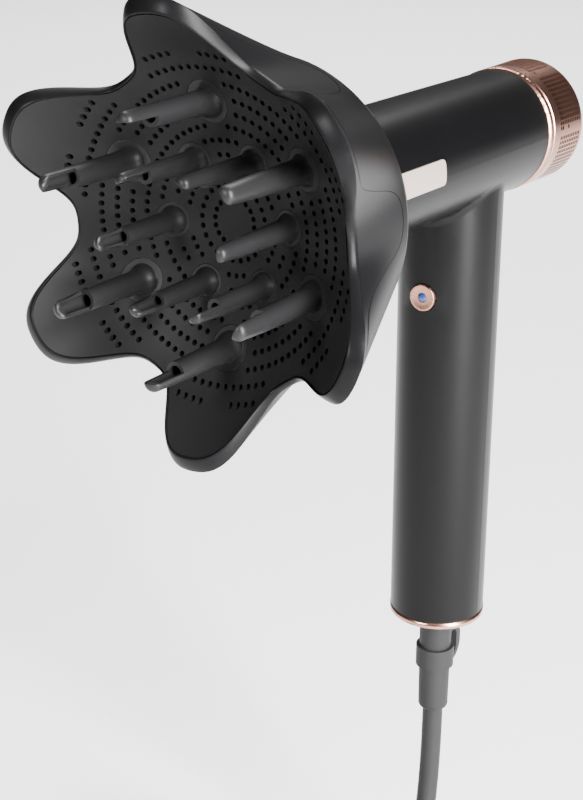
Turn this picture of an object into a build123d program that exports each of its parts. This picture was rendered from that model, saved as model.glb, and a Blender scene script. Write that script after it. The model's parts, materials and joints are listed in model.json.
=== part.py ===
"""Hair dryer with a flower-shaped curl diffuser on its outlet, in millimetres.

The origin is the middle of the grip, on the axis of the handle.  +Z is up the handle,
the barrel lies along Y with its outlet and the diffuser towards -Y, and the badge is on +X.
Barrel and diffuser pieces are drawn on a local axis that runs forward, then laid along -Y.
"""
from build123d import *
from math import cos, pi, radians, sin, tan, tanh
import os

CLEAR = 0.3            # sliding gap between pieces that move against each other
SEAT = 0.15            # gap between pieces that are pressed or screwed together

# ---- barrel, stations measured forward from the handle axis ----
BARREL_AXIS_Z = 105.0
BARREL_RADIUS = 23.85
BARREL_WALL = 2.0
BARREL_FRONT = 88.0
BARREL_REAR = -33.0
BARREL_BORE = BARREL_RADIUS - BARREL_WALL

# ---- handle, heights from the origin ----
HANDLE_TOP_RADIUS = 20.0
HANDLE_FOOT_RADIUS = 19.6
HANDLE_WALL = 2.2
HANDLE_FOOT_Z = -91.0
HANDLE_BORE = HANDLE_FOOT_RADIUS - HANDLE_WALL
NECK_FILLET = 4.0

# ---- rear intake ----
SEAT_RING_RADIUS = 24.3
SEAT_RING_WIDTH = 3.6
SEAT_RING_BORE = 19.6
SPIGOT_LENGTH = 5.4
CAP_LENGTH = 24.8
CAP_FRONT_RADIUS = 24.35
CAP_REAR_RADIUS = 24.75
CAP_WALL = 1.5
CAP_END_WALL = 1.8

# ---- fan and heater ----
MOTOR_REAR = -28.0
MOTOR_LENGTH = 28.0
MOTOR_RADIUS = 17.5
MOTOR_WALL = 1.2
MOTOR_HUB_RADIUS = 8.0
MOTOR_HUB_LENGTH = 12.0
IMPELLER_LENGTH = 11.0
IMPELLER_BLADES = 9
STATOR_VANES = 7
SHAFT_RADIUS = 2.0
MOUNT_RING_WIDTH = 5.0
DUCT_START = 4.0
DUCT_WALL = 1.2
HEATER_START = 14.0
HEATER_LENGTH = 58.0
HEATER_RADIUS = 15.6
MICA_THICKNESS = 0.8
WIRE_RADIUS = 0.5
COIL_RINGS = 9

# ---- outlet ----
OUTLET_BORE = 17.6
OUTLET_FLANGE = 1.5
OUTLET_SPIGOT_RADIUS = 22.3
OUTLET_SPIGOT_LENGTH = 7.0
OUTLET_TAIL = 8.0

# ---- badge ----
BADGE_START = 48.4
BADGE_LENGTH = 36.0
BADGE_HEIGHT = 9.2
BADGE_TURN = 4.5
BADGE_PROUD = 0.45
BADGE_DEPTH = 0.6
BADGE_CORNER = 1.6

# ---- front cool-shot button ----
COOL_Z = 49.4
COOL_RADIUS = 5.3
COOL_PROUD = 0.9
COOL_THICKNESS = 6.0
COOL_TRAVEL = 1.2
DOT_RADIUS = 1.7
DOT_DEPTH = 1.2

# ---- rear button panel ----
PANEL_Z = 24.0
PANEL_HEIGHT = 74.0
PANEL_WIDTH = 14.0
PANEL_PROUD = 0.2
BUTTON_RADIUS = 4.2
BUTTON_PROUD = 0.8
BUTTON_TRAVEL = 1.0
BUTTON_PITCH = 20.0
BUTTON_FLANGE = 0.9
LIGHT_RADIUS = 0.8
BOARD_THICKNESS = 1.6
BOARD_WIDTH = 24.0
BOARD_HEIGHT = 96.0
BOARD_Y = 4.0

# ---- foot of the handle ----
FOOT_RING_HEIGHT = 3.0
FOOT_RING_RADIUS = 19.75
FOOT_RING_WALL = 3.2
FOOT_SPIGOT = 5.0
RELIEF_RADIUS = 6.9
RELIEF_TIP_RADIUS = 6.4
RELIEF_LENGTH = 48.0
RELIEF_HEAD_RADIUS = 9.0
RELIEF_HEAD_HEIGHT = 3.0
LOOP_REACH = 19.3
LOOP_HEIGHT = 18.5
LOOP_THICKNESS = 3.6
LOOP_BAR = 3.4
LOOP_TOP_DROP = 13.0
FOOT_SCREW_RADIUS = 1.25
FOOT_SCREW_SPREAD = 11.6

# ---- cord ----
CORD_DIAMETER = 8.8
COIL_MEAN_RADIUS = 50.0
COIL_COLUMNS = 3
COIL_ROWS = 3
TIE_THICKNESS = 0.9
TIE_WIDTH = 12.0
PLUG_OFFSET = 8.0
PLUG_SPREAD = 6.2
SLEEVE_LENGTH = 34.0
PLUG_LENGTH = 40.0
PLUG_WIDTH = 30.0
PLUG_HEIGHT = 22.0
PIN_LENGTH = 16.0

# ---- diffuser, stations measured forward from the handle axis ----
LOBES = 6
CLOCKING = 5.0
RIM_LOBE_RADIUS = 67.2
RIM_VALLEY_RADIUS = 51.6
RIM_LOBE_STATION = 173.1
RIM_VALLEY_STATION = 154.8
LOBE_SQUARENESS = 0.08
WAIST_RADIUS = 49.4
DOME_FULLNESS = 0.5
WAIST_STATION = 117.0
NECK_RADIUS = 29.4
NECK_STATION = 89.9
NECK_LENGTH = 9.0
SHELL_WALL = 2.2
SEAM_GAP = 0.25
SEAM_LOBE_DEPTH = 3.0
SEAM_VALLEY_DEPTH = 33.0
PETAL_HALF_ANGLE = 16.6
PETAL_STEEPNESS = 4.2
CREST_WIDTH = 0.6
LEDGE_DEPTH = 4.4
LIP_WIDTH = 5.2
LIP_VALLEY_WIDTH = 2.1
LIP_DEPTH = 1.8
BOWL_FLOOR_STATION = 139.2
BOWL_KNEE_RADIUS = 38.0
BOWL_KNEE_STATION = 147.4
BOWL_THICKNESS = 2.0
COUPLER_WALL = 3.4
COUPLER_LENGTH = 15.0
COUPLER_FLANGE = 2.0
MAGNET_COUNT = 6
BAFFLE_RADIUS = 16.0
BAFFLE_STATION = 124.0
BAFFLE_THICKNESS = 1.6
POST_RING_RADIUS = 34.0
POST_RADIUS = 3.0
POST_COUNT = 3

# ---- diffuser prongs: ring radius, tip station, open length, body radius, base radius ----
OUTER_RING = 38.8
OUTER_TIP = 187.8
OUTER_OPEN = 12.8
OUTER_BODY = 3.9
OUTER_BASE = 6.9
INNER_RING = 22.6
INNER_TIP = 178.6
INNER_OPEN = 11.6
INNER_BODY = 3.4
INNER_BASE = 5.7
PRONG_WALL = 1.1
PRONG_TAPER = 0.85
PRONG_FLARE = 6.0

PARTS = "parts"
UP = (Align.CENTER, Align.CENTER, Align.MIN)


def lay_forward(shape):
    """Lay a shape drawn on the local forward axis along -Y, at barrel height."""
    return Pos(0, 0, BARREL_AXIS_Z) * Rot(90, 0, 0) * shape


def disc(radius, start, end):
    """A plain round bar on the local axis between two stations."""
    return Pos(0, 0, start) * Cylinder(radius, end - start, align=UP)


def tube(outer, inner, start, end):
    """A round tube on the local axis between two stations."""
    return disc(outer, start, end) - disc(inner, start - 1, end + 1)


def around(shape, count, first=0.0):
    """Copies of a shape turned evenly about the local axis."""
    return [Rot(0, 0, first + 360.0 * index / count) * shape for index in range(count)]


def joined(shapes):
    """One shape fused from a list."""
    result = shapes[0]
    for shape in shapes[1:]:
        result = result + shape
    return result


def round_grille(outer, start, end, rings, spokes, hub, bar):
    """A flat grille of rings and spokes about a hub."""
    pieces = [tube(outer, outer - bar, start, end), disc(hub, start, end)]
    for ring in range(1, rings + 1):
        middle = hub + (outer - hub) * ring / (rings + 1)
        pieces.append(tube(middle + bar / 2, middle - bar / 2, start, end))
    reach = outer - bar / 2 - hub / 2
    arm = Pos(hub / 2 + reach / 2, 0, start) * Box(reach, bar, end - start, align=UP)
    return joined(pieces + around(arm, spokes))


# ======================= barrel and handle =======================
def badge_blank(depth, proud, margin):
    """The curved badge slab, grown by a margin, between two depths about the barrel skin."""
    plan = RectangleRounded(BADGE_LENGTH + 2 * margin, BADGE_HEIGHT + 2 * margin, BADGE_CORNER + margin)
    slab = extrude(Rot(0, 90, 0) * plan, amount=BARREL_RADIUS + 5, dir=(1, 0, 0))
    slab = Pos(0, 0, BADGE_START + BADGE_LENGTH / 2) * slab
    skin = tube(BARREL_RADIUS + proud, BARREL_RADIUS - depth, BADGE_START - 5,
                BADGE_START + BADGE_LENGTH + 5)
    return Rot(0, 0, BADGE_TURN) * (slab & skin)


def panel_blank(margin, outer, inner):
    """The rear button panel, grown by a margin, between two radii about the handle axis."""
    plan = RectangleRounded(PANEL_WIDTH + 2 * margin, PANEL_HEIGHT + 2 * margin,
                            PANEL_WIDTH / 2 - 0.2 + margin)
    slab = extrude(Rot(90, 0, 0) * plan, amount=HANDLE_TOP_RADIUS + 5, dir=(0, 1, 0))
    skin = tube(outer, inner, -PANEL_HEIGHT, PANEL_HEIGHT)
    return Pos(0, 0, PANEL_Z) * (slab & skin)


def button_centres():
    """Heights of the three rear buttons."""
    return [PANEL_Z + BUTTON_PITCH * step for step in (1, 0, -1)]


def across(radius, near, far, height, side):
    """A round bar along Y on the side given (+1 rear, -1 front), at a height."""
    bar = Cylinder(radius, far - near, align=UP)
    return Pos(0, side * near, height) * Rot(-90 * side, 0, 0) * bar


def body_shell():
    handle_height = BARREL_AXIS_Z - HANDLE_FOOT_Z
    grip = Pos(0, 0, HANDLE_FOOT_Z) * Cone(HANDLE_FOOT_RADIUS, HANDLE_TOP_RADIUS, handle_height, align=UP)
    outer = lay_forward(disc(BARREL_RADIUS, BARREL_REAR, BARREL_FRONT)) + grip
    corner = [edge for edge in outer.edges() if edge.geom_type not in (GeomType.CIRCLE, GeomType.LINE)]
    outer = fillet(corner, NECK_FILLET)
    bore = lay_forward(disc(BARREL_BORE, BARREL_REAR - 1, BARREL_FRONT + 1))
    bore = bore + Pos(0, 0, HANDLE_FOOT_Z - 1) * Cylinder(HANDLE_BORE, handle_height, align=UP)
    shell = outer - bore
    shell = shell - lay_forward(badge_blank(BADGE_DEPTH, 5, SEAT))
    shell = shell - panel_blank(SEAT, HANDLE_TOP_RADIUS + 5, HANDLE_BORE - 3)
    return shell - across(COOL_RADIUS + CLEAR, HANDLE_BORE - 5, HANDLE_TOP_RADIUS + 5, COOL_Z, -1)


def badge_plate():
    return lay_forward(badge_blank(BADGE_DEPTH - SEAT, BADGE_PROUD, 0))


# ======================= rear intake =======================
def seat_ring_rear():
    return BARREL_REAR - SEAT_RING_WIDTH


def cap_seat_ring():
    rear = seat_ring_rear()
    ring = tube(SEAT_RING_RADIUS, SEAT_RING_BORE, rear, BARREL_REAR)
    front = tube(BARREL_BORE - SEAT, SEAT_RING_BORE, BARREL_REAR, MOTOR_REAR - 1)
    spigot = tube(cap_bore() - CLEAR, SEAT_RING_BORE, rear - SPIGOT_LENGTH, rear)
    return lay_forward(ring + front + spigot)


def cap_bore():
    return CAP_FRONT_RADIUS - CAP_WALL


def cap_rear():
    return seat_ring_rear() - CLEAR - CAP_LENGTH


def rear_filter_cap():
    start = cap_rear()
    skin = Pos(0, 0, start) * Cone(CAP_REAR_RADIUS, CAP_FRONT_RADIUS, CAP_LENGTH, align=UP)
    rim = [edge for edge in skin.edges() if abs(edge.center().Z - start) < 0.1]
    skin = fillet(rim, CAP_END_WALL * 0.8)
    cup = skin - disc(cap_bore(), start + CAP_END_WALL, start + CAP_LENGTH + 1)
    window = disc(cap_bore() - 2.2, start - 1, start + CAP_END_WALL + 1)
    grille = round_grille(cap_bore() - 1.6, start + 0.3, start + CAP_END_WALL, 4, 9, 4.5, 1.3)
    return lay_forward(cup - window + grille)


def filter_mesh():
    start = cap_rear() + CAP_END_WALL + SEAT
    end = seat_ring_rear() - SPIGOT_LENGTH - CLEAR
    return lay_forward(tube(cap_bore() - SEAT, cap_bore() - SEAT - 0.6, start, end))


def inlet_guard():
    start = seat_ring_rear() - SPIGOT_LENGTH + 1
    return lay_forward(round_grille(SEAT_RING_BORE, start, start + 1.6, 3, 6, 4.0, 1.2))


# ======================= fan, heater and outlet =======================
def motor_hub_start():
    return MOTOR_REAR + MOTOR_LENGTH - MOTOR_HUB_LENGTH


def motor_housing():
    end = MOTOR_REAR + MOTOR_LENGTH
    start = motor_hub_start()
    wall = tube(MOTOR_RADIUS, MOTOR_RADIUS - MOTOR_WALL, MOTOR_REAR, end)
    reach = MOTOR_RADIUS - MOTOR_WALL / 2 - MOTOR_HUB_RADIUS + 0.5
    vane = Pos(MOTOR_HUB_RADIUS - 0.5 + reach / 2, 0, start + 1) * Box(reach, 1.2, MOTOR_HUB_LENGTH - 2,
                                                                       align=UP)
    hub = tube(MOTOR_HUB_RADIUS, SHAFT_RADIUS + CLEAR, start, end)
    return lay_forward(joined([wall, hub] + around(vane, STATOR_VANES)))


def impeller():
    start = motor_hub_start() - 1.0 - IMPELLER_LENGTH
    hub = Pos(0, 0, start) * Cone(MOTOR_HUB_RADIUS * 0.55, MOTOR_HUB_RADIUS, IMPELLER_LENGTH, align=UP)
    tip = MOTOR_RADIUS - MOTOR_WALL - CLEAR - 0.3
    inside = MOTOR_HUB_RADIUS * 0.4
    blade = Box(tip - inside, 1.1, IMPELLER_LENGTH * 1.05)
    blade = Pos((tip + inside) / 2, 0, start + IMPELLER_LENGTH / 2) * Rot(28, 0, 0) * blade
    wheel = joined([hub] + around(blade, IMPELLER_BLADES))
    wheel = wheel & disc(tip, start, start + IMPELLER_LENGTH)
    return lay_forward(wheel - disc(SHAFT_RADIUS, start - 1, start + IMPELLER_LENGTH + 1))


def motor_shaft():
    start = motor_hub_start() - 1.0 - IMPELLER_LENGTH
    return lay_forward(disc(SHAFT_RADIUS, start, MOTOR_REAR + MOTOR_LENGTH - 1))


def motor_mount(start):
    return lay_forward(tube(BARREL_BORE, MOTOR_RADIUS, start, start + MOUNT_RING_WIDTH))


def air_duct():
    end = BARREL_FRONT - OUTLET_TAIL - SEAT
    liner = tube(BARREL_BORE - SEAT, BARREL_BORE - SEAT - DUCT_WALL, DUCT_START, end)
    return lay_forward(liner)


def heater_frame():
    plate = Box(2 * HEATER_RADIUS, MICA_THICKNESS, HEATER_LENGTH, align=UP)
    cross = Pos(0, 0, HEATER_START) * (plate + Rot(0, 0, 90) * plate)
    duct_inner = BARREL_BORE - SEAT - DUCT_WALL
    foot = tube(duct_inner, duct_inner - 1.2, HEATER_START, HEATER_START + 5)
    spoke = Box(2 * duct_inner - 1.2, MICA_THICKNESS, 5, align=UP)
    feet = Pos(0, 0, HEATER_START) * (spoke + Rot(0, 0, 90) * spoke)
    return lay_forward(cross + foot + feet)


def heater_coils():
    pitch = (HEATER_LENGTH - 14) / (COIL_RINGS - 1)
    major = HEATER_RADIUS + WIRE_RADIUS / 2
    ring = Torus(major, WIRE_RADIUS)
    return Compound(children=[lay_forward(Pos(0, 0, HEATER_START + 9 + pitch * index) * ring).solids()[0]
                              for index in range(COIL_RINGS)])


def thermal_cutout():
    block = Box(6.0, 3.0, 10.0, align=UP)
    return lay_forward(Pos(MICA_THICKNESS / 2 + 4.5, MICA_THICKNESS / 2 + 1.5, HEATER_START + 40) * block)


def outlet_spigot_end():
    return BARREL_FRONT + OUTLET_FLANGE + OUTLET_SPIGOT_LENGTH


def outlet_ring():
    tail = tube(BARREL_BORE - SEAT, OUTLET_BORE, BARREL_FRONT - OUTLET_TAIL, BARREL_FRONT)
    flange = tube(BARREL_RADIUS, OUTLET_BORE, BARREL_FRONT, BARREL_FRONT + OUTLET_FLANGE)
    spigot = tube(OUTLET_SPIGOT_RADIUS, OUTLET_BORE, BARREL_FRONT + OUTLET_FLANGE, outlet_spigot_end())
    return lay_forward(tail + flange + spigot)


def outlet_grille():
    start = BARREL_FRONT
    return lay_forward(round_grille(OUTLET_BORE, start, start + 2.5, 2, 6, 4.0, 1.1))


def ion_emitter():
    start = BARREL_FRONT + 2.5
    return lay_forward(disc(1.6, start, start + 3) + disc(0.5, start + 3, start + 5.5))


# ======================= buttons and boards =======================
def cool_face():
    return HANDLE_TOP_RADIUS + COOL_PROUD


def cool_shot_button():
    cap = across(COOL_RADIUS, cool_face() - COOL_THICKNESS, cool_face(), COOL_Z, -1)
    rim = [edge for edge in cap.edges() if abs(edge.center().Y + cool_face()) < 0.1]
    cap = fillet(rim, 0.35)
    stem = across(1.5, cool_face() - COOL_THICKNESS - 3, cool_face() - COOL_THICKNESS, COOL_Z, -1)
    pocket = across(DOT_RADIUS + 0.05, cool_face() - DOT_DEPTH, cool_face() + 1, COOL_Z, -1)
    return cap + stem - pocket


def cool_shot_dot():
    return across(DOT_RADIUS, cool_face() - DOT_DEPTH, cool_face() + 0.15, COOL_Z, -1)


def cool_guide_floor():
    return cool_face() - COOL_THICKNESS - 3 - COOL_TRAVEL - 2 * CLEAR - 1.2


def cool_shot_guide():
    inner = COOL_RADIUS + CLEAR
    sleeve = across(inner + 1.2, cool_guide_floor(), HANDLE_BORE - 1.4, COOL_Z, -1)
    hollow = across(inner, cool_guide_floor() + 1.2, HANDLE_TOP_RADIUS, COOL_Z, -1)
    return sleeve - hollow


def cool_shot_spring():
    near = cool_guide_floor() + 1.2
    far = cool_face() - COOL_THICKNESS - COOL_TRAVEL - CLEAR
    coil = across(3.4, near, far, COOL_Z, -1) - across(2.6, near - 1, far + 1, COOL_Z, -1)
    return coil


def cool_shot_switch():
    floor = cool_guide_floor()
    return Pos(0, -floor + 1.5, COOL_Z) * Box(8.0, 3.0, 7.0)


def rear_face():
    return HANDLE_TOP_RADIUS + PANEL_PROUD


def button_panel():
    panel = panel_blank(0, rear_face(), HANDLE_BORE)
    for height in button_centres():
        panel = panel - across(BUTTON_RADIUS + CLEAR, HANDLE_BORE - 5, rear_face() + 5, height, 1)
        panel = panel - across(LIGHT_RADIUS + 0.05, HANDLE_BORE - 5, rear_face() + 5,
                               height - BUTTON_PITCH / 2, 1)
    return panel


def rear_button(height):
    face = rear_face() + BUTTON_PROUD
    flange_far = HANDLE_BORE - 1.6
    cap = across(BUTTON_RADIUS, flange_far, face, height, 1)
    rim = [edge for edge in cap.edges() if abs(edge.center().Y - face) < 0.1]
    cap = fillet(rim, 0.6)
    flange = across(BUTTON_RADIUS + 1.2, flange_far - BUTTON_FLANGE, flange_far, height, 1)
    return cap + flange


def indicator_lights():
    lens = [across(LIGHT_RADIUS, HANDLE_BORE - 2, rear_face() - 0.05, height - BUTTON_PITCH / 2, 1)
            for height in button_centres()]
    return Compound(children=[Solid(piece.wrapped) if len(piece.solids()) == 0 else piece.solids()[0]
                              for piece in lens])


def button_springs():
    near = BOARD_Y + BOARD_THICKNESS / 2
    far = HANDLE_BORE - 1.6 - BUTTON_FLANGE - BUTTON_TRAVEL - CLEAR
    coils = []
    for height in button_centres():
        coil = across(3.0, near, far, height, 1) - across(2.2, near - 1, far + 1, height, 1)
        coils.append(coil.solids()[0])
    return Compound(children=coils)


def control_board():
    plate = Pos(0, BOARD_Y, PANEL_Z - 8) * Box(BOARD_WIDTH, BOARD_THICKNESS, BOARD_HEIGHT)
    front = BOARD_Y - BOARD_THICKNESS / 2
    for index, height in enumerate((-22.0, -2.0, 18.0)):
        part = Box(9.0 + 2 * index, 4.0, 8.0)
        plate = plate + Pos(0, front - 2.0, PANEL_Z - 8 + height) * part
    return plate


# ======================= foot of the handle and cord =======================
def foot_z():
    return HANDLE_FOOT_Z - FOOT_RING_HEIGHT


def handle_end_ring():
    inner = FOOT_RING_RADIUS - FOOT_RING_WALL
    ring = tube(FOOT_RING_RADIUS, inner, foot_z(), HANDLE_FOOT_Z)
    rim = [edge for edge in ring.edges() if abs(edge.center().Z - foot_z()) < 0.1 and edge.length > 110]
    ring = fillet(rim, 0.8)
    return ring + tube(HANDLE_BORE - SEAT, inner, HANDLE_FOOT_Z, HANDLE_FOOT_Z + FOOT_SPIGOT)


def foot_screw_places():
    return [Pos(FOOT_SCREW_SPREAD, 0, 0), Pos(-FOOT_SCREW_SPREAD, 0, 0)]


def handle_end_cap():
    outer = FOOT_RING_RADIUS - FOOT_RING_WALL - SEAT
    cap = disc(outer, foot_z() + 0.4, HANDLE_FOOT_Z + FOOT_SPIGOT)
    cap = cap - disc(RELIEF_RADIUS + SEAT, foot_z() - 1, HANDLE_FOOT_Z + FOOT_SPIGOT + 1)
    for place in foot_screw_places():
        cap = cap - place * disc(FOOT_SCREW_RADIUS, foot_z() - 1, HANDLE_FOOT_Z + FOOT_SPIGOT + 1)
        cap = cap - place * disc(FOOT_SCREW_RADIUS * 1.9, foot_z() - 1, foot_z() + 2.4)
    return cap


def end_cap_screws():
    screws = []
    for place in foot_screw_places():
        head = disc(FOOT_SCREW_RADIUS * 1.8, foot_z() + 0.8, foot_z() + 2.4)
        shank = disc(FOOT_SCREW_RADIUS, foot_z() + 2.4, HANDLE_FOOT_Z + FOOT_SPIGOT + 4)
        recess = Pos(0, 0, foot_z() + 0.8) * Box(2.6, 0.6, 1.2)
        screws.append((place * (head + shank - recess)).solids()[0])
    return Compound(children=screws)


def relief_tip_z():
    return foot_z() - RELIEF_LENGTH


def strain_relief():
    head_z = HANDLE_FOOT_Z + FOOT_SPIGOT
    head = disc(RELIEF_HEAD_RADIUS, head_z, head_z + RELIEF_HEAD_HEIGHT)
    neck = disc(RELIEF_RADIUS, foot_z(), head_z)
    sleeve = Pos(0, 0, relief_tip_z()) * Cone(RELIEF_TIP_RADIUS, RELIEF_RADIUS, RELIEF_LENGTH, align=UP)
    rim = [edge for edge in sleeve.edges() if abs(edge.center().Z - relief_tip_z()) < 0.1]
    sleeve = fillet(rim, (RELIEF_TIP_RADIUS - CORD_DIAMETER / 2) * 0.9)
    return head + neck + sleeve


def loop_centre_z():
    return foot_z() - LOOP_TOP_DROP - LOOP_HEIGHT / 2


def loop_hole_y():
    """Middle of the hanging hole, between the sleeve and the outer bar of the loop."""
    return (RELIEF_RADIUS + LOOP_REACH - LOOP_BAR) / 2


def hang_loop():
    depth = LOOP_REACH
    outer = RectangleRounded(2 * depth, LOOP_HEIGHT, LOOP_HEIGHT / 2 - 1.2)
    hole_depth = LOOP_REACH - LOOP_BAR - RELIEF_RADIUS
    hole = RectangleRounded(hole_depth, LOOP_HEIGHT - 2 * LOOP_BAR, min(hole_depth, LOOP_HEIGHT) / 2 - 1.4)
    plan = outer - Pos(loop_hole_y(), 0) * hole
    plate = extrude(Rot(0, 0, 90) * Rot(90, 0, 0) * plan, amount=LOOP_THICKNESS / 2, dir=(1, 0, 0), both=True)
    plate = plate & Pos(0, depth / 2 + 1, 0) * Box(20, depth + 2, LOOP_HEIGHT + 2)
    collar = Pos(0, 0, -LOOP_HEIGHT / 4) * Cylinder(RELIEF_RADIUS + 1.2, LOOP_HEIGHT / 2, align=UP)
    drop = loop_centre_z()
    return Pos(0, 0, drop) * (plate + collar) - disc(RELIEF_RADIUS + 0.02, drop - 20, drop + 20)


def floor_z():
    """Height of the surface on which the far end of the cord lies."""
    return cord_route()[-1].Z - CORD_DIAMETER / 2 - TIE_THICKNESS


def cord_route():
    """The free cord from the sleeve down to the surface and along it to the coil."""
    start = relief_tip_z()
    return [Vector(0, 0, start), Vector(0, 0, start - 46), Vector(1.5, -17, start - 86),
            Vector(3.0, -50, start - 108), Vector(1.0, -88, start - 108)]


def coil_centre():
    """Middle of the coil, so that its outermost turn carries on from the free cord."""
    last = cord_route()[-1]
    outermost = COIL_MEAN_RADIUS + CORD_DIAMETER * (COIL_COLUMNS - 1) / 2
    return Vector(last.X - outermost, last.Y - 20, last.Z)


def corner_radii(points):
    """The largest arc that each corner of a route allows."""
    radii = []
    for before, corner, after in zip(points, points[1:], points[2:]):
        turn = radians((corner - before).get_angle(after - corner))
        shorter = min((corner - before).length, (after - corner).length)
        radii.append(0.45 * shorter / tan(turn / 2))
    return radii


def cord():
    points = cord_route()
    radii = corner_radii(points)
    path = FilletPolyline(*points, radius=radii)
    section = Plane(origin=points[0], z_dir=points[1] - points[0]) * Circle(CORD_DIAMETER / 2)
    solid = sweep(section, path=path)
    print("cord radii", [round(radius, 1) for radius in radii], "length", round(path.length, 1),
          "volume ratio", round(solid.volume / (path.length * pi * CORD_DIAMETER ** 2 / 4), 4))
    return solid


def coil_height():
    return CORD_DIAMETER * (1 + (COIL_ROWS - 1) * 0.87)


def cord_coil():
    centre = coil_centre()
    width = CORD_DIAMETER * COIL_COLUMNS
    base = centre.Z - CORD_DIAMETER / 2
    ring = tube(COIL_MEAN_RADIUS + width / 2, COIL_MEAN_RADIUS - width / 2, 0, coil_height())
    ring = fillet(ring.edges().filter_by(GeomType.CIRCLE), CORD_DIAMETER * 0.45)
    return Pos(centre.X, centre.Y, base) * ring


def cord_tie():
    centre = coil_centre()
    width = CORD_DIAMETER * COIL_COLUMNS
    strap_width = width + 2 * TIE_THICKNESS
    strap_height = coil_height() + 2 * TIE_THICKNESS
    band = Box(TIE_WIDTH, strap_width, strap_height) - Box(TIE_WIDTH + 2, width, coil_height())
    middle_z = centre.Z - CORD_DIAMETER / 2 + coil_height() / 2
    return Pos(centre.X, centre.Y + COIL_MEAN_RADIUS, middle_z) * band


def plug_place():
    """Where the plug's sleeve takes the last turn as it runs off the outside of the coil, heading +Y."""
    centre = coil_centre()
    last_turn = COIL_MEAN_RADIUS + CORD_DIAMETER * (COIL_COLUMNS - 1) / 2 + PLUG_SPREAD
    return Pos(centre.X - last_turn, centre.Y + PLUG_OFFSET, centre.Z - CORD_DIAMETER / 2) * Rot(0, 0, 90)


def plug_body():
    cone = Pos(0, 0, CORD_DIAMETER / 2) * Rot(0, 90, 0) * Cone(4.9, 6.0, SLEEVE_LENGTH, align=UP)
    sleeve = cone & Pos(SLEEVE_LENGTH / 2, 0, 0) * Box(SLEEVE_LENGTH + 2, 20, 20, align=UP)
    block = Pos(SLEEVE_LENGTH + PLUG_LENGTH / 2, 0, 0) * Box(PLUG_LENGTH, PLUG_WIDTH, PLUG_HEIGHT, align=UP)
    return plug_place() * (sleeve + fillet(block.edges(), 4.0))


def plug_pins():
    pins = []
    for side in (-1, 1):
        pin = Pos(SLEEVE_LENGTH + PLUG_LENGTH + PIN_LENGTH / 2, side * 6.35, PLUG_HEIGHT / 2)
        pins.append((plug_place() * pin * Box(PIN_LENGTH, 1.5, 6.3)).solids()[0])
    return Compound(children=pins)


# ======================= diffuser =======================
def wave(angle):
    """Rises to 1 in the middle of a lobe and falls to -1 in a valley; angle in degrees off a lobe."""
    phase = radians(angle * LOBES)
    return (cos(phase) - LOBE_SQUARENESS * cos(3 * phase)) / (1 - LOBE_SQUARENESS)


def lobed(lobe, valley, angle):
    """A value that runs from its size in a lobe to its size in a valley."""
    return (lobe + valley) / 2 + (lobe - valley) / 2 * wave(angle)


def crest(angle):
    """Radius and station of the rim's sharp inner edge at an angle off a lobe."""
    return (lobed(RIM_LOBE_RADIUS, RIM_VALLEY_RADIUS, angle), lobed(RIM_LOBE_STATION, RIM_VALLEY_STATION, angle))


def lip(angle):
    """Radius and station of the rim's rounded outer edge."""
    radius, station = crest(angle)
    return (radius + lobed(LIP_WIDTH, LIP_VALLEY_WIDTH, angle), station - LIP_DEPTH)


def skin(angle, station):
    """Radius of the flared outer skin between the waist and the lip."""
    lip_radius, lip_station = lip(angle)
    share = (station - WAIST_STATION) / (lip_station - WAIST_STATION)
    return WAIST_RADIUS + (lip_radius - WAIST_RADIUS) * share


def seam_station(angle):
    """Station of the joint line: near the rim behind each lobe, far back in each valley."""
    middle = cos(radians(PETAL_HALF_ANGLE * LOBES))
    petal = (1 + tanh(PETAL_STEEPNESS * (cos(radians(angle * LOBES)) - middle))) / 2
    return lip(angle)[1] - SEAM_LOBE_DEPTH - (SEAM_VALLEY_DEPTH - SEAM_LOBE_DEPTH) * (1 - petal)


def ring_edge(rule):
    """A closed edge round the axis; the rule gives radius and station at an angle."""
    steps = LOBES * 20
    points = []
    for step in range(steps):
        angle = 360.0 * step / steps
        radius, station = rule(angle)
        points.append(Vector(radius * cos(radians(angle)), radius * sin(radians(angle)), station))
    parameters = [step / steps for step in range(steps + 1)]
    return Edge.make_spline(points, periodic=True, parameters=parameters)


def ring_solid(rules):
    """A closed ring whose skin runs from each rule's edge to the next and back to the first."""
    edges = [ring_edge(rule) for rule in rules]
    bands = [Face.make_surface_from_curves(near, far) for near, far in zip(edges, edges[1:] + edges[:1])]
    return Solid(Shell(bands))


def flat_ring(radius, station):
    """A rule for a plain circle."""
    return lambda angle: (radius, station)


def skirt(share, inset, gap=0.0):
    """A rule for an edge part of the way from the waist to the joint line, moved in by an inset."""
    def rule(angle):
        station = WAIST_STATION + (seam_station(angle) + gap - WAIST_STATION) * share
        return (skin(angle, station) - inset, station)
    return rule


def dome_point(turn, inset):
    """Radius and station on the rounded rear dome, turning from the neck out to the waist."""
    reach = WAIST_RADIUS - NECK_RADIUS - inset
    depth = WAIST_STATION - NECK_STATION - NECK_LENGTH - inset
    outward = DOME_FULLNESS * sin(radians(turn)) + (1 - DOME_FULLNESS) * turn / 90
    backward = DOME_FULLNESS * cos(radians(turn)) + (1 - DOME_FULLNESS) * (1 - turn / 90)
    return (NECK_RADIUS + reach * outward, WAIST_STATION - depth * backward)


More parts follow.
